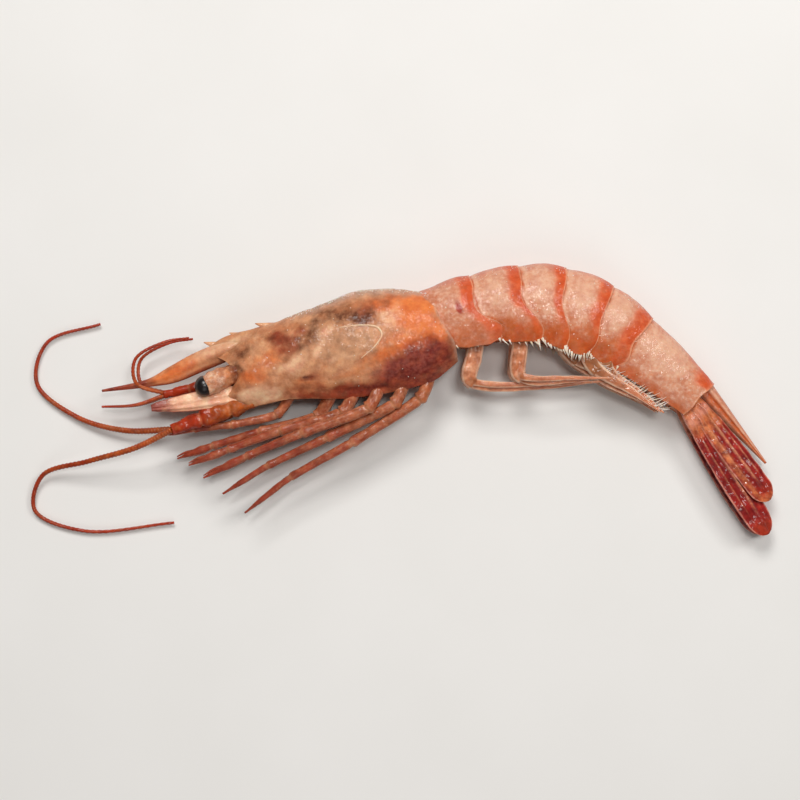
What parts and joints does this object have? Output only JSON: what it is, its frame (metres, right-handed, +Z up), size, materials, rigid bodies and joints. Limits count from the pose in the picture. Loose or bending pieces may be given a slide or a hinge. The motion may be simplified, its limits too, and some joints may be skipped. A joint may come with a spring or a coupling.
{
  "type": "raw red shrimp",
  "caption": "Whole raw red shrimp in its shell, head on, lying on its side with the tail curled down, for food displays and dishes.",
  "frame": {"origin": "middle of the plan box, on the surface the shrimp lies on", "axes": "+X towards the tail, +Y towards the back, +Z up, out of the left side that shows"},
  "size_m": [0.1801, 0.065, 0.0181],
  "materials": {
    "head_shell": "wet tan-brown shell with a purple gill patch",
    "ring_shell": "wet pale pink shell with orange-red rear bands",
    "fan": "wet crimson blades with pale ribs",
    "limb": "wet salmon-pink limbs",
    "whip": "wet rust-red feelers",
    "eye": "glossy black"
  },
  "bodies": {
    "root": {"carapace": "head_shell", "abdomen_ring_1": "ring_shell", "abdomen_ring_2": "ring_shell", "abdomen_ring_3": "ring_shell", "abdomen_ring_4": "ring_shell", "abdomen_ring_5": "ring_shell", "abdomen_ring_6": "ring_shell", "telson": "ring_shell", "uropod_left_endopod": "fan", "uropod_left_exopod": "fan", "uropod_right_endopod": "fan", "uropod_right_exopod": "fan", "eye_left": "eye", "eye_right": "eye", "eyestalk_left": "limb", "eyestalk_right": "limb", "antennule_left": "whip", "antennule_right": "whip", "antenna_left": "whip", "antenna_right": "whip", "antennal_scale_left": "limb", "antennal_scale_right": "limb", "maxilliped_left": "limb", "maxilliped_right": "limb", "walking_leg_left_1": "limb", "walking_leg_left_2": "limb", "walking_leg_left_3": "limb", "walking_leg_left_4": "limb", "walking_leg_left_5": "limb", "walking_leg_right_1": "limb", "walking_leg_right_2": "limb", "walking_leg_right_3": "limb", "walking_leg_right_4": "limb", "walking_leg_right_5": "limb", "pleopod_left_1": "limb", "pleopod_left_2": "limb", "pleopod_left_3": "limb", "pleopod_left_4": "limb", "pleopod_left_5": "limb", "pleopod_right_1": "limb", "pleopod_right_2": "limb", "pleopod_right_3": "limb", "pleopod_right_4": "limb", "pleopod_right_5": "limb"}
  },
  "joints": []
}
